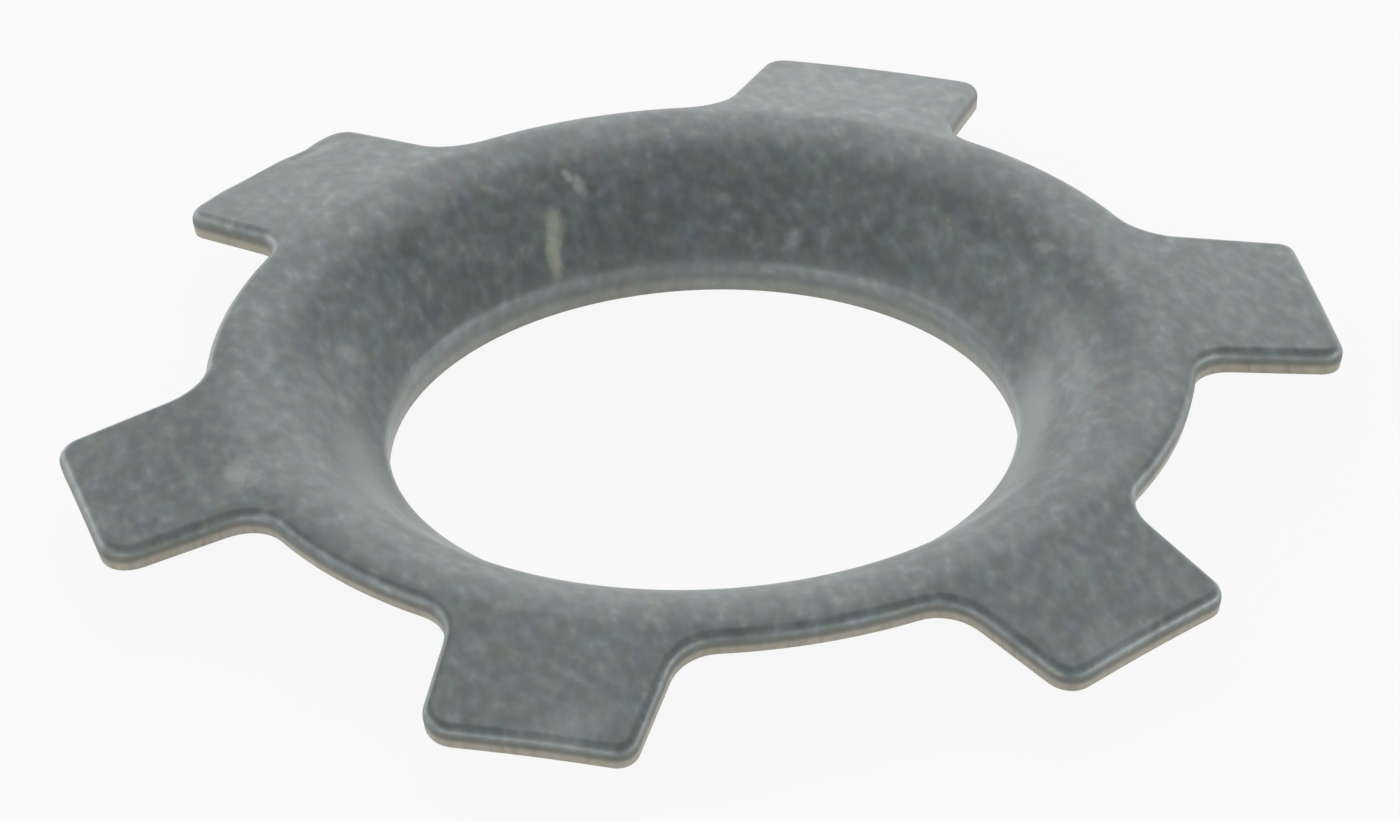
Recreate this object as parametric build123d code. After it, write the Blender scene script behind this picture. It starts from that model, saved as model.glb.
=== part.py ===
"""Self-locking retaining ring for a plain bore, stamped and drawn from one piece of spring steel sheet.

Six prongs stand out of a narrow ring and bite into the wall of the bore. Inside the ring the sheet is
drawn down into a shallow dish that ends in a pierced hole. Lengths are in millimetres, angles in degrees.
The axis of the hole is +Z, one prong points along +X, and the lower edge of the hole rests on z = 0.
"""

from build123d import *
from math import cos, hypot, radians, sin, tan
import os

# The sheet.
sheet_thickness = 0.4

# From the axis outwards, seen from above and measured on the upper face.
# The crest is the highest circle of the ring, and the rim is its edge between the prongs.
hole_diameter = 10.1
dish_width = 2.3
rim_width = 0.65
prong_length = 2.3

# The prongs. Their length is measured along the middle, and their tips are cut straight across.
prong_count = 6
prong_root_width = 3.8
prong_tip_width = 3.6
prong_root_fillet = 0.85
prong_corner_radius = 0.42

# The drawn form, on the upper face. Both slopes are measured from the plane of the crest.
dish_slope = 40.0
dish_bend_radius = 2.05
prong_slope = 14.0
prong_bend_radius = 1.8

# The edges that the punch rolled over. The lower edges are left sharp.
hole_lip_radius = 0.3
rolled_edge_radius = 0.18

hole_radius = hole_diameter / 2
crest_radius = hole_radius + dish_width
rim_radius = crest_radius + rim_width
tip_reach = rim_radius + prong_length

# The pressed blank before the prongs are cut free.
blank_radius = tip_reach + prong_corner_radius

# Room left around a cut, so that the tool passes right through the sheet.
margin = sheet_thickness

# How closely an edge of the solid is matched to the radius that it was drawn at.
match_tolerance = 0.01


def dish_bend_end(depth):
    """Where the dish's bend runs out into its cone, at a depth below the upper face. The crest is at 0."""
    bend = dish_bend_radius - depth
    angle = radians(dish_slope)
    return crest_radius - bend * sin(angle), bend * cos(angle) - dish_bend_radius


def prong_bend_end(depth):
    """Where the outer bend runs out into the slope of the prongs, at a depth below the upper face."""
    bend = prong_bend_radius - depth
    angle = radians(prong_slope)
    return crest_radius + bend * sin(angle), bend * cos(angle) - prong_bend_radius


def hole_point(depth):
    """Where the dish's cone meets the straight wall of the hole."""
    radius, height = dish_bend_end(depth)
    return hole_radius, height - (radius - hole_radius) * tan(radians(dish_slope))


def cut_point(radius, depth):
    """A point of a cut that stands square to the prongs' slope and meets the upper face at a radius."""
    angle = radians(prong_slope)
    bend_radius, bend_height = prong_bend_end(0)
    height = bend_height - (radius - bend_radius) * tan(angle)
    return radius - depth * sin(angle), height - depth * cos(angle)


# The lowest point of the ring is the lower edge of the hole.
crest_height = -hole_point(sheet_thickness)[1]


def sheet_section():
    """Half of the section through the axis, from the hole to beyond the tips of the prongs."""
    dish_centre = (crest_radius, -dish_bend_radius)
    prong_centre = (crest_radius, -prong_bend_radius)
    with BuildSketch(Plane.XZ) as section:
        with BuildLine():
            for depth in (0, sheet_thickness):
                Line(hole_point(depth), dish_bend_end(depth))
                CenterArc(dish_centre, dish_bend_radius - depth, 90, dish_slope)
                CenterArc(prong_centre, prong_bend_radius - depth, 90 - prong_slope, prong_slope)
                Line(prong_bend_end(depth), cut_point(blank_radius, depth))
            Line(hole_point(0), hole_point(sheet_thickness))
            Line(cut_point(blank_radius, 0), cut_point(blank_radius, sheet_thickness))
        make_face()
        lip = section.vertices().sort_by_distance(hole_point(0))[0]
        fillet(lip, hole_lip_radius)
    return section.sketch


def prong_corners(outer):
    """The outline of a prong seen from above, with its flanks run on from the crest to an outer radius."""
    taper = (prong_root_width - prong_tip_width) / prong_length
    inner = crest_radius
    inner_half = (prong_root_width + taper * (rim_radius - inner)) / 2
    outer_half = (prong_root_width - taper * (outer - rim_radius)) / 2
    return [(inner, -inner_half), (outer, -outer_half), (outer, outer_half), (inner, inner_half)]


def beyond_cut(radius):
    """The outline, in the plane of the section, of what lies outside a cut at a radius."""
    outer = blank_radius + margin
    upper = cut_point(radius, -margin)
    lower = cut_point(radius, sheet_thickness + margin)
    floor = cut_point(outer, sheet_thickness + margin)[1]
    return [upper, (outer, upper[1]), (outer, floor), (lower[0], floor), lower]


def gap_waste():
    """What the tool cuts out between the prongs: everything outside the rim that is no prong."""
    outline = beyond_cut(rim_radius)
    outer, top = outline[1]
    floor = outline[2][1]
    with BuildPart() as scrap:
        with BuildSketch(Plane.XZ):
            Polygon(*outline, align=None)
        revolve(axis=Axis.Z)
        with BuildSketch(Plane.XY.offset(floor - margin)):
            with PolarLocations(0, prong_count):
                Polygon(*prong_corners(outer + margin), align=None)
        extrude(amount=top - floor + 2 * margin, mode=Mode.SUBTRACT)
    return scrap.part


def tip_waste():
    """What the tool cuts off beyond the straight tip of the prong on +X."""
    with BuildPart() as scrap:
        with BuildSketch(Plane.XZ):
            Polygon(*beyond_cut(tip_reach), align=None)
        extrude(amount=prong_root_width, both=True)
    return scrap.part


def distance_from_axis(vertex):
    return hypot(vertex.X, vertex.Y)


def nearest_end(edge):
    return min(map(distance_from_axis, edge.vertices()))


def farthest_end(edge):
    return max(map(distance_from_axis, edge.vertices()))


def corner_edges(part, inner, outer):
    """The short edges through the thickness of the sheet that lie between two radii."""
    through = part.edges().filter_by(lambda edge: edge.length < 1.5 * sheet_thickness)
    return through.filter_by(lambda edge: inner < nearest_end(edge) and farthest_end(edge) < outer)


def rolled_edges(part):
    """The outer edge of the upper face, all the way round the rim and the prongs."""
    cones = part.faces().filter_by(GeomType.CONE)
    slope = cones.sort_by(lambda face: face.bounding_box().max.Z)[-1]
    bend_radius = prong_bend_end(0)[0]
    return slope.edges().filter_by(lambda edge: nearest_end(edge) > bend_radius + match_tolerance)


def retaining_ring():
    middle_radius = rim_radius + prong_length / 2
    with BuildPart() as ring:
        add(revolve(sheet_section(), axis=Axis.Z))
        add(gap_waste(), mode=Mode.SUBTRACT)
        with PolarLocations(0, prong_count):
            add(tip_waste(), mode=Mode.SUBTRACT)
        fillet(corner_edges(ring, crest_radius, middle_radius), prong_root_fillet)
        fillet(corner_edges(ring, middle_radius, blank_radius), prong_corner_radius)
        fillet(rolled_edges(ring), rolled_edge_radius)
    return ring.part.moved(Location((0, 0, crest_height)))


os.makedirs("parts", exist_ok=True)
export_step(retaining_ring(), "parts/retaining_ring.step")
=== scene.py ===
"""Self-locking retaining ring of drawn spring steel sheet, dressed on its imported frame.

Lengths are in metres and angles in radians. The axis of the hole is +Z, one prong points along +X, and
the lower edge of the hole rests on z = 0.
"""

import bpy
from math import acos, asin, atan, cos, hypot, pi, radians, sin, sqrt, tan, tau
from mathutils import Matrix, Vector


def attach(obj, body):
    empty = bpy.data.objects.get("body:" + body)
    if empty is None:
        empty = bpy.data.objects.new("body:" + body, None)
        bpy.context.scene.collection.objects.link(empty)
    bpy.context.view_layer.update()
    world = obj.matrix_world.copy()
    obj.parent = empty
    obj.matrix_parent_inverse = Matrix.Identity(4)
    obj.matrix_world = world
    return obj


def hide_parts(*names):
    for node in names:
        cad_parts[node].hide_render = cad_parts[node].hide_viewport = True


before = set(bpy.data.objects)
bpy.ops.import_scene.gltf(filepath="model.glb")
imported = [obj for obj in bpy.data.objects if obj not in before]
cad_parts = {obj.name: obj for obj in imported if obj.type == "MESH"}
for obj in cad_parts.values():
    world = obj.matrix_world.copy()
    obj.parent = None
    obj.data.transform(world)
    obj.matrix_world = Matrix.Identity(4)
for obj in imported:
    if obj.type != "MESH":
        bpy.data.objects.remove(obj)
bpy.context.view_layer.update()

bl_info = {
    "name": "Retaining ring",
    "version": (1, 0, 0),
    "blender": (4, 5, 0),
    "location": "View3D > Sidebar > Retaining ring",
    "description": "A drawn sheet retaining ring with six prongs, and a plain studio for it",
    "category": "Add Mesh",
}

MM = 0.001
UP = (0.0, 0.0, 1.0)
ACROSS = (0.0, 1.0, 0.0)
ORIGIN = (0.0, 0.0, 0.0)

# Points nearer to each other than this are one point.
SAME_PLACE = 0.0001 * MM

# How near to its radius a point of the hole's lower edge is found, after the sheet got its thickness.
EDGE_TOLERANCE = 0.002 * MM

# An edge points at the axis if its ends and the axis span a triangle of less than half this area.
RADIAL_TOLERANCE = 0.02 * MM * MM

# Edges that turn by more than this are rounded, and the rounding is an arc.
SHARP_TURN = radians(40)
ROUND_PROFILE = 0.5

PRONG_COUNT = 6

# Into how many faces the die is divided: over its two bends and all the way round.
DIE_DISH_STEPS = 24
DIE_PRONG_STEPS = 12
DIE_TURN_STEPS = 360

# Into how many edges half of a prong's outline is divided, from the middle of the gap on.
HALF_GAP_STEPS = 8
ROOT_STEPS = 10
FLANK_STEPS = 8
CORNER_STEPS = 8
HALF_TIP_STEPS = 9

# Into how many rings the flat blank is divided, from the outline inwards.
PRONG_RINGS = 8
OUTER_BEND_RINGS = 6
DISH_BEND_RINGS = 18
DISH_CONE_RINGS = 4

# The strip of faces along the outline is wider than the rolled edge by this factor, so that the
# rounding stays inside it.
EDGE_STRIP_FACTOR = 1.12

# The prongs' rings begin where the outer bend has turned by this share of the prongs' slope.
SHOULDER_SHARE = 0.8

# Into how many faces the rounding of each kind of edge is divided.
LIP_SEGMENTS = 6
ROLL_SEGMENTS = 5
LOWER_EDGE_SEGMENTS = 2

# No two corners of the prongs' tips are rounded alike. The clockwise and the anticlockwise corner of
# each prong, from the one on +X anticlockwise, as shares of the corner radius.
CORNER_SHARES = (
    (1.0, 0.65),
    (0.75, 0.85),
    (1.0, 1.0),
    (1.0, 1.45),
    (1.45, 0.85),
    (1.1, 0.95),
)

# One prong's tip is nicked in one place and bulges in another: where along the tip, how far in, and
# over what length, in millimetres. The other five are clean.
FLAWED_PRONG = radians(120)
TIP_FLAWS = ((-0.8, 0.07, 0.45), (1.0, -0.03, 0.4))

# The sheet's mottling is drawn out along Y, the way the sheet was rolled: lengths along Y count for less.
ROLLING_STRETCH = 0.6

# How many blotches and specks of the mottling lie on one metre. Clouds and tints are coarser by a factor.
BLOTCH_SCALE = 4600.0
SPECKLE_SCALE = 11000.0
CLOUD_SCALE_FACTOR = 0.16
TINT_SCALE_FACTOR = 0.7

# How much of the mottling each layer makes up, and between which levels of its noise the layer rises.
BLOTCH_SHARE = 0.6
SPECKLE_SHARE = 0.1
CLOUD_SHARE = 0.25
BLOTCH_RISE = (0.3, 0.7)
CLOUD_RISE = (0.35, 0.65)
SPECK_RISE = (0.62, 0.74)

# How strongly the tints colour the sheet, and how far its brightest specks go to the pale colour.
TINT_STRENGTH = 0.2
SPECK_PALENESS = 0.25

# The outlines of the marks wander by up to about half of this length, on waves of this scale.
MARK_WANDER = 0.16 * MM
WANDER_SCALE = 5000.0

# A mark is at its full strength out to this share of its half length and half width, then fades.
MARK_CORE = 0.2

# Pale spots are weaker between the grains of the sheet: levels of the grain, then strengths.
SPOT_GRAIN_RISE = (0.3, 0.6, 0.7, 1.0)

# The rolled lip of the hole is painted paler all round, a painted sheen that stands in for the light on
# the lip: two distances from the axis, then the share of the pale colour at each.
LIP_SHEEN_RISE = (5.05 * MM, 5.45 * MM, 0.2, 0.0)

# The cut face, as shares of the sheet's thickness below the upper face: where it begins, where it ends
# in the rounded lower edge, and where the burnished part gives way to the torn one. It begins high on
# the rolled edge, so that the dark burnished colour also paints shade over the rolled edge.
CUT_BEGIN = (0.10, 0.42)
CUT_END = (0.96, 1.0, 1.0, 0.0)
TORN_BEGIN = (0.45, 0.75)

# The wall of the hole is less bare than the outer cuts: two distances from the axis, then how bare.
BARE_RISE = (5.2 * MM, 6.0 * MM, 0.5, 1.0)

# The scores down the cut face: their scale, how far they are drawn out, and how dark they are.
SCORE_SCALE = 9000.0
SCORE_STRETCH = 0.2
SCORE_RISE = (0.4, 0.75, 0.0, 0.3)

# How much of the sheet's own skin is left on the cut face, and how much of the oil is missing there.
SKIN_ON_CUT = 0.35
OIL_LOST_ON_CUT = 0.85

# How far the roughness follows the grain, how much rougher pale marks are, and how much less metallic.
ROUGHNESS_SWING = 0.15
PALE_ROUGHNESS = 0.15
PALE_METAL_LOSS = 0.3

# The fine relief of the grain and the scores.
RELIEF_STRENGTH = 0.15
RELIEF_HEIGHT = 0.006 * MM

# The floor is a disc. This much of what the camera sees of it is its own even white. The rest is lit,
# and takes shadow.
FLOOR_RADIUS = 2.0
FLOOR_CORNERS = 96
FLOOR_GLOW_SHARE = 0.90

# The low softboxes stand in a ring, from straight behind the object and round by the right. All
# softboxes stand at one distance.
LOW_SOFTBOXES = ("back", "back_right", "right", "front_right", "front", "front_left", "left", "back_left")
LOW_ELEVATION = radians(7)
LOW_WIDTH = 0.62
LOW_HEIGHT = 0.18
SOFTBOX_DISTANCE = 0.8

# The higher softboxes: azimuth, elevation, width and height.
RAISED_SOFTBOXES = {
    "high": (0.0, radians(48), 0.42, 0.36),
    "middle": (radians(15), radians(26), 0.60, 0.30),
    "side": (radians(-90), radians(24), 0.60, 0.30),
}

# The camera's sensor in millimetres, and the nearest and farthest that it sees.
SENSOR_WIDTH = 36.0
NEAREST_SEEN = 10 * MM
FARTHEST_SEEN = 3.0


def length(name, description, millimetres):
    """A length that the user can change, given in millimetres and kept in metres."""
    return bpy.props.FloatProperty(
        name=name, description=description, default=millimetres * MM, unit="LENGTH", precision=6
    )


def angle(name, description, degrees):
    """An angle that the user can change, given in degrees and kept in radians."""
    return bpy.props.FloatProperty(
        name=name, description=description, default=radians(degrees), unit="ROTATION"
    )


def colour(name, description, red, green, blue):
    """A colour that the user can change."""
    return bpy.props.FloatVectorProperty(
        name=name,
        description=description,
        default=(red, green, blue),
        size=3,
        min=0.0,
        max=1.0,
        subtype="COLOR",
    )


def amount(name, description, value):
    """A plain number that the user can change."""
    return bpy.props.FloatProperty(name=name, description=description, default=value, precision=4)


class RingSizes(bpy.types.PropertyGroup):
    """The sizes of the ring, as the part's source has them."""

    sheet_thickness: length("Sheet thickness", "Thickness of the spring steel sheet", 0.4)
    hole_radius: length("Hole radius", "Radius of the pierced hole", 5.05)
    dish_width: length("Dish width", "From the wall of the hole out to the crest", 2.3)
    rim_width: length("Rim width", "From the crest out to the edge between the prongs", 0.65)
    prong_length: length("Prong length", "From the rim out to the straight tip of a prong", 2.3)
    prong_root_width: length("Prong root width", "Width of a prong at the rim", 3.8)
    prong_tip_width: length("Prong tip width", "Width of a prong at its tip", 3.6)
    prong_root_fillet: length("Root fillet", "Radius between a prong and the rim", 0.85)
    prong_corner_radius: length("Corner radius", "Radius of a prong's two corners", 0.42)
    dish_slope: angle("Dish slope", "Slope of the dish, from the plane of the crest", 40.0)
    dish_bend_radius: length("Dish bend radius", "Bend from the crest into the dish", 2.05)
    prong_slope: angle("Prong slope", "Slope of the prongs, from the plane of the crest", 14.0)
    prong_bend_radius: length("Prong bend radius", "Bend from the crest into the prongs", 1.8)
    hole_lip_radius: length("Hole lip radius", "Rounding of the hole's upper edge", 0.3)
    rolled_edge_radius: length("Rolled edge radius", "Rounding of the outer upper edge", 0.18)
    burr_radius: length("Lower edge radius", "Rounding of the lower edges", 0.02)


class RingColours(bpy.types.PropertyGroup):
    """The colours and finish of the spring steel."""

    steel_dark: colour("Dark blotches", "The darker blotches of the mottling", 0.114, 0.139, 0.139)
    steel_light: colour("Light blotches", "The lighter blotches", 0.206, 0.248, 0.246)
    # Besides the pale spots, this colour paints the highlight crescents in the dish and the sheen round the
    # hole's lip.
    pale_spot_and_highlight: colour("Pale spots", "Rubbed and spotted places", 0.36, 0.41, 0.395)
    scratch: colour("Scratch", "The long scratch in the dish", 0.42, 0.44, 0.335)
    dark_spot: colour("Dark spots", "Stained spots", 0.067, 0.086, 0.069)
    # This dark colour is partly the burnished cut and partly painted shade over the lower half of the
    # rolled edge.
    cut_burnished_and_shade: colour("Burnished cut", "The upper part of the cut faces", 0.150, 0.138, 0.115)
    cut_torn: colour("Torn cut", "The lower part of the cut faces", 0.47, 0.41, 0.32)
    roughness: amount("Roughness", "How dull the steel is, from 0 to 1", 0.5)
    metallic: amount("Metallic", "How much of the steel's dull skin shines as bare metal", 0.5)
    oil_roughness: amount("Oil roughness", "How dull the film of oil on the steel is, from 0 to 1", 0.42)


class StudioSettings(bpy.types.PropertyGroup):
    """The camera and the light."""

    camera_elevation: angle("Camera elevation", "Angle of the view above the floor", 32.3956)
    camera_azimuth: angle("Camera azimuth", "How far the camera stands round to the left", 12.6902)
    camera_roll: angle("Camera roll", "How far the camera leans", 2.4858)
    camera_distance: length("Camera distance", "From the camera to the middle of the view", 560.0)
    camera_lens: amount("Camera lens", "Focal length in millimetres on a 36 mm sensor", 898.07)
    aim_drop: length("Aim drop", "How far below the crest the camera aims, in the picture", 0.7756)
    world_level: amount("World level", "Strength of the even light from all round", 0.333)
    back_level: amount("Back softbox", "Radiance of the low softbox behind the ring", 1.469)
    back_right_level: amount("Back right softbox", "Radiance of the next one to the right", 1.492)
    right_level: amount("Right softbox", "Radiance of the low softbox on the right", 5.574)
    front_right_level: amount("Front right softbox", "Radiance of the low one in front on the right", 3.325)
    front_level: amount("Front softbox", "Radiance of the low one on the camera's side", 1.074)
    front_left_level: amount("Front left softbox", "Radiance of the low one in front on the left", 5.267)
    left_level: amount("Left softbox", "Radiance of the low softbox on the left", 0.315)
    back_left_level: amount("Back left softbox", "Radiance of the low one behind on the left", 2.946)
    high_level: amount("High softbox", "Radiance of the high softbox behind", 1.498)
    middle_level: amount("Middle softbox", "Radiance of the one between the low and the high one", 0.598)
    side_level: amount("Side softbox", "Radiance of the higher softbox on the left", 1.506)
    floor: colour("Floor", "The floor's colour", 0.95, 0.95, 0.95)


def only(piece):
    """Selects one object and makes it the active one."""
    bpy.ops.object.select_all(action="DESELECT")
    piece.select_set(True)
    bpy.context.view_layer.objects.active = piece


def start_point(name, place):
    """A new mesh object at the origin, in edit mode, with one selected point at a place."""
    bpy.ops.object.select_all(action="DESELECT")
    bpy.ops.mesh.primitive_plane_add(size=MM, location=ORIGIN)
    piece = bpy.context.object
    piece.name = name
    piece.data.name = name
    bpy.ops.object.mode_set(mode="EDIT")
    bpy.ops.mesh.select_mode(type="VERT")
    bpy.ops.mesh.select_all(action="SELECT")
    bpy.ops.mesh.merge(type="CENTER")
    bpy.ops.transform.translate(value=place)
    return piece


def draw_arc(steps, turn, centre, axis=UP):
    """Draws on from the selected point along an arc. A positive turn is anticlockwise about the axis."""
    bpy.ops.mesh.spin(steps=steps, angle=-turn, center=centre, axis=axis)


def draw_line(steps, run):
    """Draws on from the selected point along a straight line."""
    for _ in range(steps):
        step = tuple(part / steps for part in run)
        bpy.ops.mesh.extrude_vertices_move(TRANSFORM_OT_translate={"value": step})


def join_doubles():
    """Makes one point of the points that lie on each other."""
    bpy.ops.mesh.select_all(action="SELECT")
    bpy.ops.mesh.remove_doubles(threshold=SAME_PLACE)


def select_points(piece, test):
    """Selects the points whose place passes a test, and leaves edit mode on."""
    bpy.ops.object.mode_set(mode="EDIT")
    bpy.ops.mesh.select_mode(type="VERT")
    bpy.ops.mesh.select_all(action="DESELECT")
    bpy.ops.object.mode_set(mode="OBJECT")
    for point in piece.data.vertices:
        point.select = test(point.co)
    bpy.ops.object.mode_set(mode="EDIT")


def select_edges(piece, test):
    """Selects the edges whose two ends pass a test, and leaves edit mode on."""
    bpy.ops.object.mode_set(mode="EDIT")
    bpy.ops.mesh.select_mode(type="EDGE")
    bpy.ops.mesh.select_all(action="DESELECT")
    bpy.ops.object.mode_set(mode="OBJECT")
    points = piece.data.vertices
    for edge in piece.data.edges:
        first, second = edge.vertices
        edge.select = test(points[first].co, points[second].co)
    bpy.ops.object.mode_set(mode="EDIT")


def apply_modifier(piece, kind, **settings):
    """Adds one modifier to an object and applies it."""
    only(piece)
    bpy.ops.object.modifier_add(type=kind)
    modifier = piece.modifiers[-1]
    for name, value in settings.items():
        setattr(modifier, name, value)
    bpy.ops.object.modifier_apply(modifier=modifier.name)


class Section:
    """Half of the sheet's section through the axis, on the upper face, as distances from the axis
    and heights above the lower edge of the hole."""

    def __init__(self, sizes):
        self.sizes = sizes
        self.crest_radius = sizes.hole_radius + sizes.dish_width
        self.rim_radius = self.crest_radius + sizes.rim_width
        self.tip_reach = self.rim_radius + sizes.prong_length
        lower_bend = sizes.dish_bend_radius - sizes.sheet_thickness
        lower_run = self.crest_radius - lower_bend * sin(sizes.dish_slope) - sizes.hole_radius
        drop = sizes.dish_bend_radius - lower_bend * cos(sizes.dish_slope)
        self.crest_height = drop + lower_run * tan(sizes.dish_slope)
        self.dish_bend_end = self.crest_radius - sizes.dish_bend_radius * sin(sizes.dish_slope)
        self.prong_bend_end = self.crest_radius + sizes.prong_bend_radius * sin(sizes.prong_slope)

    def height(self, radius):
        """The height of the upper face at a distance from the axis."""
        sizes = self.sizes
        run = radius - self.crest_radius
        if run < 0:
            bend, slope, end = sizes.dish_bend_radius, sizes.dish_slope, self.dish_bend_end
            beyond = max(0.0, end - radius)
        else:
            bend, slope, end = sizes.prong_bend_radius, sizes.prong_slope, self.prong_bend_end
            beyond = max(0.0, radius - end)
        along = min(abs(run), bend * sin(slope))
        return self.crest_height - bend + sqrt(bend * bend - along * along) - beyond * tan(slope)

    def steepness(self, radius):
        """How steep the upper face is at a distance from the axis."""
        sizes = self.sizes
        run = radius - self.crest_radius
        if run < 0:
            bend, slope = sizes.dish_bend_radius, sizes.dish_slope
        else:
            bend, slope = sizes.prong_bend_radius, sizes.prong_slope
        return min(slope, asin(min(1.0, abs(run) / bend)))


def press_die(section):
    """The surface that the flat blank is pressed on: the upper face of the section, lathed round."""
    sizes = section.sizes
    margin = sizes.sheet_thickness
    first = section.dish_bend_end
    inner = sizes.hole_radius - margin
    outer = section.tip_reach + 2 * margin
    last = section.prong_bend_end
    die = start_point("die", (inner, 0, section.height(inner)))
    draw_line(1, (first - inner, 0, section.height(first) - section.height(inner)))
    dish_centre = (section.crest_radius, 0, section.crest_height - sizes.dish_bend_radius)
    draw_arc(DIE_DISH_STEPS, sizes.dish_slope, dish_centre, ACROSS)
    prong_centre = (section.crest_radius, 0, section.crest_height - sizes.prong_bend_radius)
    draw_arc(DIE_PRONG_STEPS, sizes.prong_slope, prong_centre, ACROSS)
    draw_line(1, (outer - last, 0, section.height(outer) - section.height(last)))
    bpy.ops.mesh.select_all(action="SELECT")
    draw_arc(DIE_TURN_STEPS, tau, ORIGIN)
    join_doubles()
    bpy.ops.object.mode_set(mode="OBJECT")
    return die


def draw_half_prong(section, corner):
    """Half of a prong's outline on the flat, from the middle of the gap to the middle of the tip,
    with the tip's corner rounded by a radius."""
    sizes = section.sizes
    rim, tip = section.rim_radius, section.tip_reach
    root_fillet = sizes.prong_root_fillet
    lean = atan((sizes.prong_root_width - sizes.prong_tip_width) / 2 / sizes.prong_length)
    outward = Vector((sin(lean), cos(lean), 0))
    flank = outward.dot(Vector((rim, sizes.prong_root_width / 2, 0)))
    root_reach = rim + root_fillet
    root_bearing = pi / 2 - lean - acos((flank + root_fillet) / root_reach)
    root_centre = Vector((cos(root_bearing), sin(root_bearing), 0)) * root_reach
    corner_x = tip - corner
    corner_y = (flank - corner - outward.x * corner_x) / outward.y
    corner_centre = Vector((corner_x, corner_y, 0))
    half_pitch = pi / PRONG_COUNT
    square = pi / 2 - lean
    flank_run = (corner_centre + outward * corner) - (root_centre - outward * root_fillet)
    half = start_point("half_prong", (rim * cos(half_pitch), rim * sin(half_pitch), 0))
    draw_arc(HALF_GAP_STEPS, root_bearing - half_pitch, ORIGIN)
    draw_arc(ROOT_STEPS, square - root_bearing, root_centre)
    draw_line(FLANK_STEPS, flank_run)
    draw_arc(CORNER_STEPS, -square, corner_centre)
    draw_line(HALF_TIP_STEPS, (0, -corner_y, 0))
    return half


def draw_outline(section):
    """The closed outline of rim and prongs on the flat."""
    halves = []
    for place, shares in enumerate(CORNER_SHARES):
        for side, share in zip((-1, 1), shares):
            half = draw_half_prong(section, share * section.sizes.prong_corner_radius)
            bpy.ops.mesh.select_all(action="SELECT")
            bpy.ops.transform.resize(value=(1, side, 1), center_override=ORIGIN)
            bpy.ops.transform.rotate(
                value=-place * tau / PRONG_COUNT, orient_axis="Z", center_override=ORIGIN
            )
            bpy.ops.object.mode_set(mode="OBJECT")
            halves.append(half)
    for half in halves:
        half.select_set(True)
    bpy.ops.object.join()
    blank = bpy.context.object
    blank.name = "retaining_ring_sheet"
    blank.data.name = blank.name
    bpy.ops.object.mode_set(mode="EDIT")
    join_doubles()
    bpy.ops.object.mode_set(mode="OBJECT")
    return blank


def push_outline(blank, place, push, spread):
    """Pushes the outline near a place on the flat, less and less with the distance."""
    nearest = min((point.co - place).length for point in blank.data.vertices)
    select_points(blank, lambda spot: (spot - place).length < nearest + SAME_PLACE)
    bpy.ops.transform.translate(
        value=push,
        use_proportional_edit=True,
        proportional_edit_falloff="SMOOTH",
        proportional_size=spread,
    )
    bpy.ops.object.mode_set(mode="OBJECT")


def cut_blank(section):
    """The flat sheet seen from above: the outline of rim and prongs, ringed inwards to the hole."""
    sizes = section.sizes
    blank = draw_outline(section)
    for along, inward, spread in TIP_FLAWS:
        tip_point = Vector((section.tip_reach, along * MM, 0))
        place = Matrix.Rotation(FLAWED_PRONG, 3, "Z") @ tip_point
        push = Matrix.Rotation(FLAWED_PRONG, 3, "Z") @ Vector((-inward * MM, 0, 0))
        push_outline(blank, place, push, spread * MM)
    bpy.ops.object.mode_set(mode="EDIT")
    bpy.ops.mesh.select_all(action="SELECT")
    bpy.ops.mesh.edge_face_add()
    strip = EDGE_STRIP_FACTOR * sizes.rolled_edge_radius
    bpy.ops.mesh.inset(thickness=strip, use_even_offset=True)
    bpy.ops.mesh.extrude_region_move()
    bpy.ops.transform.tosphere(value=1.0)
    shoulder_slope = SHOULDER_SHARE * sizes.prong_slope
    shoulder = section.crest_radius + sizes.prong_bend_radius * sin(shoulder_slope)
    ring_in(blank, shoulder)

    def rung(first, second):
        """Whether an edge runs from the shoulder out to the strip along the outline."""
        near, far = sorted((hypot(first.x, first.y), hypot(second.x, second.y)))
        return abs(near - shoulder) < SAME_PLACE < far - shoulder and is_radial(first, second)

    select_edges(blank, rung)
    bpy.ops.mesh.subdivide_edgering(number_cuts=PRONG_RINGS, interpolation="LINEAR")
    select_cap(blank)
    for step in range(1, OUTER_BEND_RINGS + 1):
        turn = shoulder_slope * (1 - step / OUTER_BEND_RINGS)
        draw_in(blank, section.crest_radius + sizes.prong_bend_radius * sin(turn))
    for step in range(1, DISH_BEND_RINGS + 1):
        turn = sizes.dish_slope * step / DISH_BEND_RINGS
        draw_in(blank, section.crest_radius - sizes.dish_bend_radius * sin(turn))
    lip = sizes.hole_radius + sizes.hole_lip_radius
    cone_run = lip - section.dish_bend_end
    for step in range(1, DISH_CONE_RINGS + 1):
        draw_in(blank, section.dish_bend_end + cone_run * step / DISH_CONE_RINGS)
    draw_in(blank, sizes.hole_radius)
    bpy.ops.mesh.delete(type="ONLY_FACE")
    bpy.ops.object.mode_set(mode="OBJECT")
    if blank.data.polygons[0].normal.z < 0:
        bpy.ops.object.mode_set(mode="EDIT")
        bpy.ops.mesh.select_all(action="SELECT")
        bpy.ops.mesh.flip_normals()
        bpy.ops.object.mode_set(mode="OBJECT")
    return blank


def is_radial(first, second):
    """Whether an edge points at the axis."""
    turn = first.x * second.y - first.y * second.x
    return abs(turn) < RADIAL_TOLERANCE


def select_cap(blank):
    """Selects the one large face that still covers the hole."""
    bpy.ops.object.mode_set(mode="EDIT")
    bpy.ops.mesh.select_mode(type="FACE")
    bpy.ops.mesh.select_all(action="DESELECT")
    bpy.ops.object.mode_set(mode="OBJECT")
    cap = max(blank.data.polygons, key=lambda face: len(face.vertices))
    cap.select = True
    bpy.ops.object.mode_set(mode="EDIT")


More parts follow.
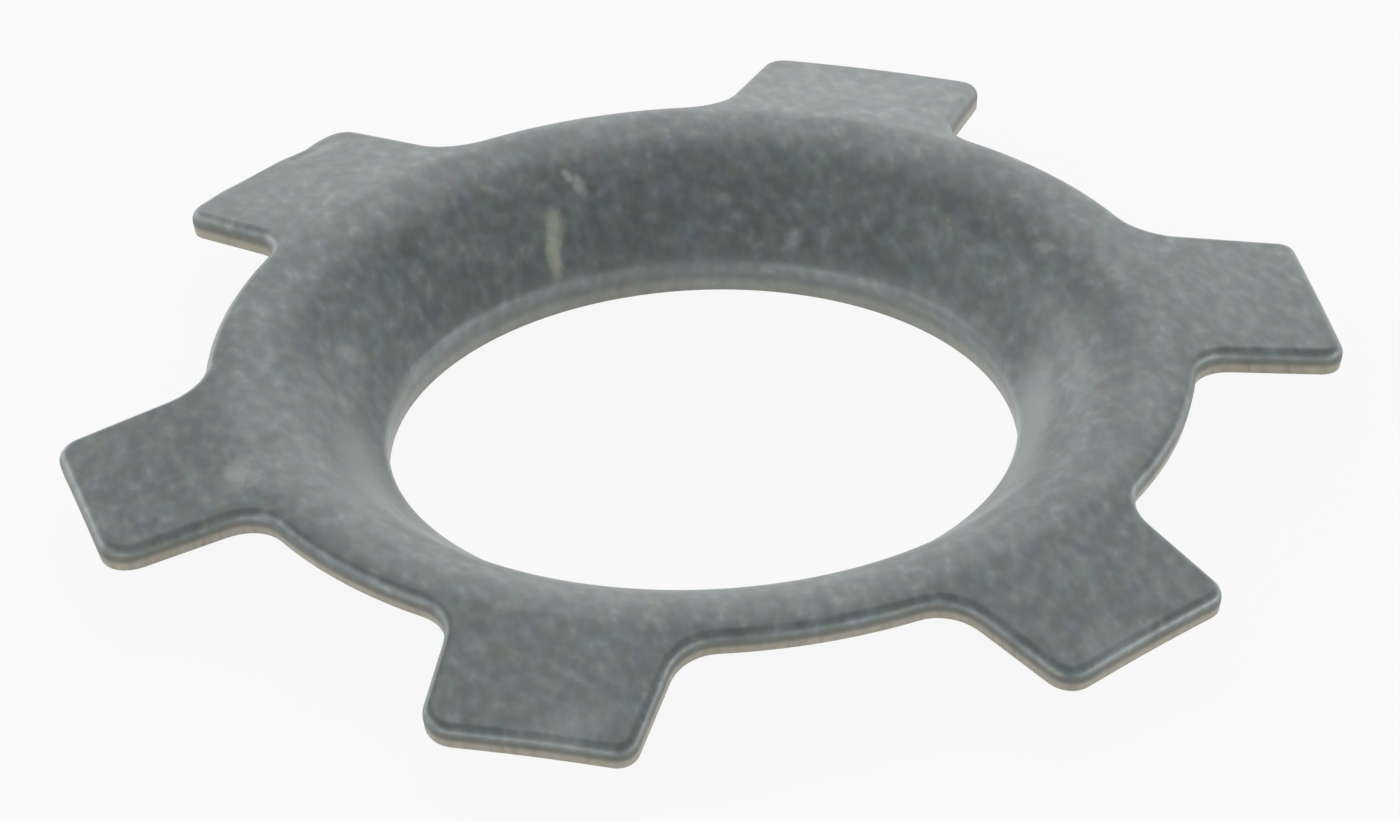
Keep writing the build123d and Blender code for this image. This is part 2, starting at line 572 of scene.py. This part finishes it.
def ring_in(blank, radius):
    """Brings the selected round face to a radius."""
    bpy.ops.object.mode_set(mode="OBJECT")
    now = max(hypot(point.co.x, point.co.y) for point in blank.data.vertices if point.select)
    bpy.ops.object.mode_set(mode="EDIT")
    scale = radius / now
    bpy.ops.transform.resize(value=(scale, scale, 1), center_override=ORIGIN)


def draw_in(blank, radius):
    """Adds one more ring inside the selected round face."""
    bpy.ops.mesh.extrude_region_move()
    ring_in(blank, radius)


def straighten_hole(piece, section):
    """Moves the hole's lower edge in along the dish, so that the wall of the hole is upright."""
    sizes = section.sizes
    sheared = sizes.hole_radius + sizes.sheet_thickness * sin(sizes.dish_slope)
    select_points(
        piece, lambda place: abs(hypot(place.x, place.y) - sheared) < EDGE_TOLERANCE
    )
    scale = sizes.hole_radius / sheared
    bpy.ops.transform.resize(value=(scale, scale, 1), center_override=ORIGIN)
    drop = (sheared - sizes.hole_radius) * tan(sizes.dish_slope)
    bpy.ops.transform.translate(value=(0, 0, -drop))
    bpy.ops.object.mode_set(mode="OBJECT")


def round_edges(piece, section, test, width, segments):
    """Rounds the edges of the sheet that pass a test on the distance from the axis and the depth
    below the upper face."""
    bpy.ops.object.mode_set(mode="EDIT")
    bpy.ops.mesh.select_mode(type="EDGE")
    bpy.ops.mesh.select_all(action="DESELECT")
    bpy.ops.mesh.edges_select_sharp(sharpness=SHARP_TURN)
    bpy.ops.object.mode_set(mode="OBJECT")
    points = piece.data.vertices
    for edge in piece.data.edges:
        if edge.select:
            middle = (points[edge.vertices[0]].co + points[edge.vertices[1]].co) / 2
            radius = hypot(middle.x, middle.y)
            edge.select = test(radius, section.height(radius) - middle.z)
    bpy.ops.object.mode_set(mode="EDIT")
    bpy.ops.mesh.bevel(
        offset_type="OFFSET",
        offset=width,
        segments=segments,
        profile=ROUND_PROFILE,
        affect="EDGES",
        clamp_overlap=False,
    )
    bpy.ops.object.mode_set(mode="OBJECT")


def mark_cut_faces(piece, section):
    """Writes how far down the cut each point lies: 0 on the upper face, 1 at the lower edge."""
    sizes = section.sizes
    depth_of = piece.data.attributes.new("cut_depth", "FLOAT", "POINT")
    for point, mark in zip(piece.data.vertices, depth_of.data):
        radius = hypot(point.co.x, point.co.y)
        drop = section.height(radius) - point.co.z
        depth = drop * cos(section.steepness(radius)) / sizes.sheet_thickness
        mark.value = min(1.0, max(0.0, depth))


class RETAINING_RING_OT_press_sheet(bpy.types.Operator):
    """Draw the flat blank, press it on the die and give it the thickness of the sheet"""

    bl_idname = "retaining_ring.press_sheet"
    bl_label = "Press the ring"

    def execute(self, context):
        section = Section(context.scene.ring_sizes)
        sizes = section.sizes
        die = press_die(section)
        ring = cut_blank(section)
        only(ring)
        bpy.ops.object.mode_set(mode="EDIT")
        bpy.ops.mesh.select_all(action="SELECT")
        bpy.ops.transform.translate(value=(0, 0, 2 * section.crest_height))
        bpy.ops.object.mode_set(mode="OBJECT")
        apply_modifier(
            ring,
            "SHRINKWRAP",
            target=die,
            wrap_method="PROJECT",
            use_project_z=True,
            use_negative_direction=True,
            use_positive_direction=False,
        )
        apply_modifier(
            ring,
            "SOLIDIFY",
            thickness=sizes.sheet_thickness,
            offset=-1.0,
            use_even_offset=True,
            use_rim=True,
        )
        only(die)
        bpy.ops.object.delete()
        only(ring)
        straighten_hole(ring, section)
        half_way = sizes.sheet_thickness / 2
        crest = section.crest_radius
        lip = sizes.hole_lip_radius * tan(pi / 4 - sizes.dish_slope / 2)

        def hole_edge(radius, depth):
            """Whether a place is on the hole's upper edge."""
            return radius < crest and depth < half_way

        def outer_edge(radius, depth):
            """Whether a place is on the upper edge of the rim and the prongs."""
            return radius > crest and depth < half_way

        def lower_edge(radius, depth):
            """Whether a place is on a lower edge."""
            return depth > half_way

        round_edges(ring, section, hole_edge, lip, LIP_SEGMENTS)
        round_edges(ring, section, outer_edge, sizes.rolled_edge_radius, ROLL_SEGMENTS)
        round_edges(ring, section, lower_edge, sizes.burr_radius, LOWER_EDGE_SEGMENTS)
        mark_cut_faces(ring, section)
        only(ring)
        bpy.ops.object.shade_smooth()
        ring.data.materials.clear()
        ring.data.materials.append(spring_steel(context.scene.ring_colours))
        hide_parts("retaining_ring")
        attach(ring, "root")
        return {"FINISHED"}


class Bench:
    """Places nodes in the tree of a material or a group, and joins them."""

    def __init__(self, tree):
        self.tree = tree

    def add(self, kind, **settings):
        """A new shader node with some of its settings."""
        node = self.tree.nodes.new("ShaderNode" + kind)
        for name, value in settings.items():
            setattr(node, name, value)
        return node

    def feed(self, socket, value):
        """Gives a socket a plain value, or joins another socket to it."""
        if isinstance(value, bpy.types.NodeSocket):
            self.tree.links.new(value, socket)
        else:
            socket.default_value = value

    def math(self, operation, first, second=0.0):
        """One sum on plain numbers."""
        node = self.add("Math", operation=operation)
        self.feed(node.inputs[0], first)
        self.feed(node.inputs[1], second)
        return node.outputs["Value"]

    def vector_math(self, operation, first, second):
        """One sum on vectors, as a node, since its result may be a vector or a number."""
        node = self.add("VectorMath", operation=operation)
        self.feed(node.inputs[0], first)
        self.feed(node.inputs[1], second)
        return node

    def rise(self, value, low, high, bottom=0.0, top=1.0):
        """A smooth step from bottom to top as the value goes from low to high."""
        node = self.add("MapRange", interpolation_type="SMOOTHSTEP")
        self.feed(node.inputs["Value"], value)
        node.inputs["From Min"].default_value = low
        node.inputs["From Max"].default_value = high
        node.inputs["To Min"].default_value = bottom
        node.inputs["To Max"].default_value = top
        return node.outputs["Result"]

    def noise(self, place, scale, detail):
        """Soft noise in space, finer with more detail."""
        node = self.add("TexNoise")
        self.feed(node.inputs["Vector"], place)
        self.feed(node.inputs["Scale"], scale)
        node.inputs["Detail"].default_value = detail
        return node

    def stretched(self, place, scale):
        """A place with its three lengths multiplied."""
        node = self.add("Mapping")
        node.inputs["Scale"].default_value = scale
        self.feed(node.inputs["Vector"], place)
        return node.outputs["Vector"]

    def mix(self, share, first, second, blend="MIX"):
        """A mix of two colours."""
        node = self.add("Mix", data_type="RGBA", blend_type=blend)
        self.feed(node.inputs[0], share)
        self.feed(node.inputs[6], first)
        self.feed(node.inputs[7], second)
        return node.outputs[2]


def new_material(name):
    """A material with empty nodes, its bench and its output."""
    material = bpy.data.materials.new(name)
    material.use_nodes = True
    material.node_tree.nodes.clear()
    bench = Bench(material.node_tree)
    return material, bench, bench.add("OutputMaterial")


def new_group(name, inputs, outputs):
    """A shader node group with named sockets, its bench and its two ends."""
    tree = bpy.data.node_groups.new(name, "ShaderNodeTree")
    for side, sockets in (("INPUT", inputs), ("OUTPUT", outputs)):
        for socket, kind in sockets:
            tree.interface.new_socket(socket, in_out=side, socket_type="NodeSocket" + kind)
    bench = Bench(tree)
    return tree, bench, bench.tree.nodes.new("NodeGroupInput"), bench.tree.nodes.new("NodeGroupOutput")


def place_group(bench, tree, **values):
    """Places a group in a material. An input's name is given with _ for each space."""
    node = bench.add("Group", node_tree=tree)
    for name, value in values.items():
        bench.feed(node.inputs[name.replace("_", " ").title()], value)
    return node


def mottling_group():
    """The uneven grey of rolled, heat-treated sheet: clouds, blotches and fine speckle."""
    inputs = [("Place", "Vector"), ("Blotch Scale", "Float"), ("Speckle Scale", "Float")]
    outputs = [("Shade", "Float"), ("Grain", "Float"), ("Specks", "Float"), ("Tint", "Color")]
    tree, bench, start, end = new_group("sheet_mottling", inputs, outputs)
    place = start.outputs["Place"]
    blotch_scale = start.outputs["Blotch Scale"]
    cloud_scale = bench.math("MULTIPLY", blotch_scale, CLOUD_SCALE_FACTOR)
    tint_scale = bench.math("MULTIPLY", blotch_scale, TINT_SCALE_FACTOR)
    blotches = bench.noise(place, blotch_scale, 1.5).outputs["Fac"]
    speckle = bench.noise(place, start.outputs["Speckle Scale"], 1.0).outputs["Fac"]
    clouds = bench.noise(place, cloud_scale, 2.0).outputs["Fac"]
    tint = bench.noise(place, tint_scale, 1.5)
    shade = bench.math("MULTIPLY", bench.rise(blotches, *BLOTCH_RISE), BLOTCH_SHARE)
    fine = bench.math("MULTIPLY", bench.rise(speckle, *BLOTCH_RISE), SPECKLE_SHARE)
    broad = bench.math("MULTIPLY", bench.rise(clouds, *CLOUD_RISE), CLOUD_SHARE)
    bench.feed(end.inputs["Shade"], bench.math("ADD", bench.math("ADD", shade, fine), broad))
    bench.feed(end.inputs["Grain"], speckle)
    bench.feed(end.inputs["Specks"], bench.rise(blotches, *SPECK_RISE))
    bench.feed(end.inputs["Tint"], tint.outputs["Color"])
    return tree


def mark_group():
    """One soft-edged mark on the surface, longer than wide."""
    inputs = [
        ("Place", "Vector"),
        ("Centre", "Vector"),
        ("Direction", "Vector"),
        ("Half Length", "Float"),
        ("Half Width", "Float"),
        ("Strength", "Float"),
    ]
    tree, bench, start, end = new_group("surface_mark", inputs, [("Mask", "Float")])
    away = bench.vector_math("SUBTRACT", start.outputs["Place"], start.outputs["Centre"])
    along = bench.vector_math("DOT_PRODUCT", away.outputs["Vector"], start.outputs["Direction"])
    run = along.outputs["Value"]
    whole = bench.vector_math("DOT_PRODUCT", away.outputs["Vector"], away.outputs["Vector"])
    rest = bench.math("SUBTRACT", whole.outputs["Value"], bench.math("MULTIPLY", run, run))
    side = bench.math("SQRT", bench.math("MAXIMUM", rest, 0.0))
    reach_along = bench.math("DIVIDE", run, start.outputs["Half Length"])
    reach_across = bench.math("DIVIDE", side, start.outputs["Half Width"])
    squares = bench.math(
        "ADD",
        bench.math("MULTIPLY", reach_along, reach_along),
        bench.math("MULTIPLY", reach_across, reach_across),
    )
    mask = bench.rise(bench.math("SQRT", squares), MARK_CORE, 1.0, 1.0, 0.0)
    bench.feed(end.inputs["Mask"], bench.math("MULTIPLY", mask, start.outputs["Strength"]))
    return tree


# The marks on the ring, each with its centre, its direction, half its length, half its width and its
# strength. Lengths are in millimetres. The scratches and spots are small. The last two are painted
# highlights: two long, pale crescents in the dish, left and right of the hole, which stand in for the
# light reflected in the dish there.
SCRATCHES = (
    ((-1.02, 5.74, 1.18), (-0.10, -0.77, -0.62), 0.42, 0.22, 0.75),
    ((-1.12, 5.38, 0.89), (-0.12, -0.77, -0.62), 0.74, 0.17, 0.95),
)
PALE_SPOTS = (
    ((-0.62, 6.42, 1.60), (0.30, -0.85, -0.48), 0.24, 0.11, 0.9),
    ((-0.46, 6.24, 1.51), (0.30, -0.85, -0.48), 0.27, 0.15, 0.9),
    ((-7.82, -0.90, 1.76), (0.2, 1.0, 0.0), 0.60, 0.34, 1.0),
    ((-7.64, -1.14, 1.78), (0.2, 1.0, 0.0), 0.42, 0.26, 0.8),
    ((-5.12, 2.85, 1.20), (0.8, -0.4, 0.4), 0.52, 0.36, 0.6),
    ((2.69, 4.68, 0.82), (0.3, 0.5, 0.8), 0.30, 0.20, 0.6),
    ((6.22, 1.97, 1.65), (0.69, -0.71, 0.1), 0.36, 0.15, 0.55),
    ((-3.99, 3.15, 0.52), (0.1, 0.1, 1.0), 0.42, 0.20, 0.6),
    ((-4.24, -8.92, 1.25), (1.0, 0.3, 0.0), 1.05, 0.65, 0.35),
    ((4.45, -9.05, 1.22), (1.0, 0.5, 0.0), 0.85, 0.58, 0.35),
    ((-4.10, 9.00, 1.24), (0.9, 0.4, 0.0), 0.60, 0.24, 0.8),
)
# Painted highlight: two pale crescents that stand in for light reflected in the dish.
PAINTED_HIGHLIGHT_CRESCENTS = (
    ((-5.72, -0.70, 1.13), (-0.10, -0.98, 0.19), 2.8, 0.75, 0.75),
    ((4.95, -1.75, 0.73), (-0.36, -0.93, 0.08), 2.8, 0.75, 0.9),
)
DARK_SPOTS = (
    ((-7.15, -0.11, 1.81), (0.5, 0.9, 0.0), 0.42, 0.27, 0.6),
    ((-3.57, 5.15, 1.51), (0.5, -0.6, 0.6), 0.33, 0.27, 0.55),
    ((-0.31, 6.16, 1.45), (0.3, -0.8, 0.5), 0.24, 0.18, 0.4),
    ((-4.45, 8.98, 1.22), (0.9, 0.4, 0.0), 0.46, 0.09, 0.7),
)


def all_marks(bench, group, place, marks):
    """One mask of several marks."""
    mask = 0.0
    for centre, direction, half_length, half_width, strength in marks:
        mark = place_group(
            bench,
            group,
            place=place,
            centre=Vector(centre) * MM,
            direction=Vector(direction).normalized(),
            half_length=half_length * MM,
            half_width=half_width * MM,
            strength=strength,
        )
        mask = bench.math("MAXIMUM", mask, mark.outputs["Mask"])
    return mask


def spring_steel(colours):
    """Dull, mottled spring steel under a thin film of oil. The cut faces are bare, and scored down the
    depth of the cut."""
    material, bench, output = new_material("spring_steel")
    place = bench.add("TexCoord").outputs["Object"]
    mottling = place_group(
        bench,
        mottling_group(),
        place=bench.stretched(place, (1.0, ROLLING_STRETCH, 1.0)),
        blotch_scale=BLOTCH_SCALE,
        speckle_scale=SPECKLE_SCALE,
    )
    grain = mottling.outputs["Grain"]
    steel_dark = (*colours.steel_dark, 1)
    pale_spot_and_highlight = (*colours.pale_spot_and_highlight, 1)
    sheet = bench.mix(mottling.outputs["Shade"], steel_dark, (*colours.steel_light, 1))
    sheet = bench.mix(TINT_STRENGTH, sheet, mottling.outputs["Tint"], "OVERLAY")
    pale_share = bench.math("MULTIPLY", mottling.outputs["Specks"], SPECK_PALENESS)

    ragged = bench.noise(place, WANDER_SCALE, 2.0)
    shift = bench.vector_math("SUBTRACT", ragged.outputs["Color"], (0.5, 0.5, 0.5))
    wander = bench.vector_math("SCALE", shift.outputs["Vector"], ORIGIN)
    wander.inputs["Scale"].default_value = MARK_WANDER
    torn = bench.vector_math("ADD", place, wander.outputs["Vector"]).outputs["Vector"]
    group = mark_group()
    scratches = all_marks(bench, group, torn, SCRATCHES)
    spots = all_marks(bench, group, torn, PALE_SPOTS)
    spots = bench.math("MULTIPLY", spots, bench.rise(grain, *SPOT_GRAIN_RISE))
    dark = all_marks(bench, group, torn, DARK_SPOTS)
    pale = bench.math("MAXIMUM", scratches, spots)
    flat_place = bench.vector_math("MULTIPLY", place, (1.0, 1.0, 0.0)).outputs["Vector"]
    reach = bench.vector_math("LENGTH", flat_place, ORIGIN).outputs["Value"]
    # Painted light: the pale crescents in the dish and the paler band round the hole's lip are painted
    # highlight and sheen, mixed in with the pale colour.
    painted_sheen = all_marks(bench, group, torn, PAINTED_HIGHLIGHT_CRESCENTS)
    painted_sheen = bench.math("MAXIMUM", bench.rise(reach, *LIP_SHEEN_RISE), painted_sheen)
    sheet = bench.mix(pale_share, sheet, pale_spot_and_highlight)
    sheet = bench.mix(painted_sheen, sheet, pale_spot_and_highlight)
    sheet = bench.mix(spots, sheet, pale_spot_and_highlight)
    sheet = bench.mix(scratches, sheet, (*colours.scratch, 1))
    sheet = bench.mix(dark, sheet, (*colours.dark_spot, 1))

    depth = bench.add("Attribute", attribute_name="cut_depth").outputs["Fac"]
    in_cut = bench.math("MULTIPLY", bench.rise(depth, *CUT_BEGIN), bench.rise(depth, *CUT_END))
    in_cut = bench.math("MULTIPLY", in_cut, bench.rise(reach, *BARE_RISE))
    scored_place = bench.stretched(place, (1.0, 1.0, SCORE_STRETCH))
    scores = bench.noise(scored_place, SCORE_SCALE, 2.0).outputs["Fac"]
    torn_share = bench.rise(depth, *TORN_BEGIN)
    # The dark burnished colour is partly painted shade: it also darkens the rolled edge above the cut.
    cut = bench.mix(torn_share, (*colours.cut_burnished_and_shade, 1), (*colours.cut_torn, 1))
    cut = bench.mix(bench.rise(scores, *SCORE_RISE), cut, steel_dark)
    cut = bench.mix(SKIN_ON_CUT, cut, sheet)
    surface = bench.mix(in_cut, sheet, cut)

    rough = bench.math("MULTIPLY", bench.math("SUBTRACT", grain, 0.5), ROUGHNESS_SWING)
    rough = bench.math("ADD", rough, colours.roughness)
    rough = bench.math("ADD", rough, bench.math("MULTIPLY", pale, PALE_ROUGHNESS))
    dulled = bench.math("MULTIPLY", pale, PALE_METAL_LOSS)
    dry = bench.math("MULTIPLY", in_cut, OIL_LOST_ON_CUT)
    relief = bench.add("Bump")
    relief.inputs["Strength"].default_value = RELIEF_STRENGTH
    relief.inputs["Distance"].default_value = RELIEF_HEIGHT
    height = bench.math("ADD", grain, bench.math("MULTIPLY", in_cut, scores))
    bench.feed(relief.inputs["Height"], height)
    shader = bench.add("BsdfPrincipled")
    bench.feed(shader.inputs["Base Color"], surface)
    bench.feed(shader.inputs["Roughness"], rough)
    bench.feed(shader.inputs["Metallic"], bench.math("SUBTRACT", colours.metallic, dulled))
    bench.feed(shader.inputs["Coat Weight"], bench.math("SUBTRACT", 1.0, dry))
    shader.inputs["Coat Roughness"].default_value = colours.oil_roughness
    bench.feed(shader.inputs["Normal"], relief.outputs["Normal"])
    bench.feed(output.inputs["Surface"], shader.outputs["BSDF"])
    return material


def floor_material(colour):
    """A white floor that keeps the object's shadow. Metal sees it as the camera does."""
    material, bench, output = new_material("studio_floor")
    diffuse = bench.add("BsdfDiffuse")
    diffuse.inputs["Color"].default_value = (*colour, 1.0)
    glow = bench.add("Emission")
    glow.inputs["Color"].default_value = (1.0, 1.0, 1.0, 1.0)
    glow.inputs["Strength"].default_value = 1.0
    rays = bench.add("LightPath")
    seen = bench.math("MAXIMUM", rays.outputs["Is Camera Ray"], rays.outputs["Is Glossy Ray"])
    seen = bench.math("MAXIMUM", seen, rays.outputs["Is Transmission Ray"])
    mix = bench.add("MixShader")
    bench.feed(mix.inputs["Fac"], bench.math("MULTIPLY", seen, FLOOR_GLOW_SHARE))
    bench.feed(mix.inputs[1], diffuse.outputs["BSDF"])
    bench.feed(mix.inputs[2], glow.outputs["Emission"])
    bench.feed(output.inputs["Surface"], mix.outputs["Shader"])
    return material


def softbox(name, azimuth, elevation, width, height, radiance):
    """A rectangular area light that faces the object. Azimuth 0 is straight behind the object as the
    camera sees it, and a positive one is to the right."""
    studio = bpy.context.scene.ring_studio
    bearing = studio.camera_azimuth + azimuth
    away = Vector((sin(bearing) * cos(elevation), cos(bearing) * cos(elevation), sin(elevation)))
    turn = away.to_track_quat("Z", "Y").to_euler()
    bpy.ops.object.select_all(action="DESELECT")
    bpy.ops.object.light_add(type="AREA", location=away * SOFTBOX_DISTANCE, rotation=turn)
    lamp = bpy.context.object
    lamp.name = name + "_softbox"
    lamp.data.shape = "RECTANGLE"
    lamp.data.size = width
    lamp.data.size_y = height
    lamp.data.energy = radiance * width * height * pi


def studio_camera(studio, crest_height):
    """The camera, where the photograph was taken from."""
    elevation, azimuth, roll = studio.camera_elevation, studio.camera_azimuth, studio.camera_roll
    back = Vector((-cos(elevation) * sin(azimuth), -cos(elevation) * cos(azimuth), sin(elevation)))
    right = Vector((cos(azimuth), -sin(azimuth), 0))
    up = back.cross(right)
    leaned_right = right * cos(roll) - up * sin(roll)
    leaned_up = right * sin(roll) + up * cos(roll)
    aim = Vector((0, 0, crest_height)) - leaned_up * studio.aim_drop
    turn = Matrix((leaned_right, leaned_up, back)).transposed().to_euler()
    place = aim + back * studio.camera_distance
    bpy.ops.object.select_all(action="DESELECT")
    bpy.ops.object.camera_add(location=place, rotation=turn)
    camera = bpy.context.object
    camera.name = "studio_camera"
    camera.data.sensor_width = SENSOR_WIDTH
    camera.data.lens = studio.camera_lens
    camera.data.clip_start = NEAREST_SEEN
    camera.data.clip_end = FARTHEST_SEEN
    bpy.context.scene.camera = camera


class RETAINING_RING_OT_build_studio(bpy.types.Operator):
    """Build the floor, the softboxes, the world and the camera"""

    bl_idname = "retaining_ring.build_studio"
    bl_label = "Build the studio"

    def execute(self, context):
        studio = context.scene.ring_studio
        section = Section(context.scene.ring_sizes)
        bpy.ops.object.select_all(action="DESELECT")
        bpy.ops.mesh.primitive_circle_add(
            vertices=FLOOR_CORNERS, radius=FLOOR_RADIUS, fill_type="NGON", location=ORIGIN
        )
        floor = context.object
        floor.name = "studio_floor"
        floor.data.materials.append(floor_material(studio.floor))
        world = bpy.data.worlds.new("studio_world")
        world.use_nodes = True
        backdrop = world.node_tree.nodes["Background"]
        backdrop.inputs["Color"].default_value = (1.0, 1.0, 1.0, 1.0)
        backdrop.inputs["Strength"].default_value = studio.world_level
        context.scene.world = world
        for place, name in enumerate(LOW_SOFTBOXES):
            azimuth = place * tau / len(LOW_SOFTBOXES)
            level = getattr(studio, name + "_level")
            softbox(name, azimuth, LOW_ELEVATION, LOW_WIDTH, LOW_HEIGHT, level)
        for name, (azimuth, elevation, width, height) in RAISED_SOFTBOXES.items():
            level = getattr(studio, name + "_level")
            softbox(name, azimuth, elevation, width, height, level)
        studio_camera(studio, section.crest_height)
        context.scene.view_settings.view_transform = "Standard"
        return {"FINISHED"}


class RETAINING_RING_PT_panel(bpy.types.Panel):
    """The ring's sizes, colours and studio"""

    bl_idname = "RETAINING_RING_PT_panel"
    bl_label = "Retaining ring"
    bl_space_type = "VIEW_3D"
    bl_region_type = "UI"
    bl_category = "Retaining ring"

    def draw(self, context):
        layout = self.layout
        for group in (
            context.scene.ring_sizes,
            context.scene.ring_colours,
            context.scene.ring_studio,
        ):
            box = layout.box()
            for name in group.__annotations__:
                box.prop(group, name)
        layout.operator(RETAINING_RING_OT_press_sheet.bl_idname)
        layout.operator(RETAINING_RING_OT_build_studio.bl_idname)


CLASSES = (
    RingSizes,
    RingColours,
    StudioSettings,
    RETAINING_RING_OT_press_sheet,
    RETAINING_RING_OT_build_studio,
    RETAINING_RING_PT_panel,
)


def register():
    """Makes the ring's settings, operators and panel known to Blender."""
    for kind in CLASSES:
        bpy.utils.register_class(kind)
    bpy.types.Scene.ring_sizes = bpy.props.PointerProperty(type=RingSizes)
    bpy.types.Scene.ring_colours = bpy.props.PointerProperty(type=RingColours)
    bpy.types.Scene.ring_studio = bpy.props.PointerProperty(type=StudioSettings)


def unregister():
    """Takes them out again."""
    del bpy.types.Scene.ring_studio
    del bpy.types.Scene.ring_colours
    del bpy.types.Scene.ring_sizes
    for kind in reversed(CLASSES):
        bpy.utils.unregister_class(kind)


def main():
    """Builds the ring and its studio."""
    register()
    bpy.ops.retaining_ring.press_sheet()
    bpy.ops.retaining_ring.build_studio()


if __name__ == "__main__":
    main()
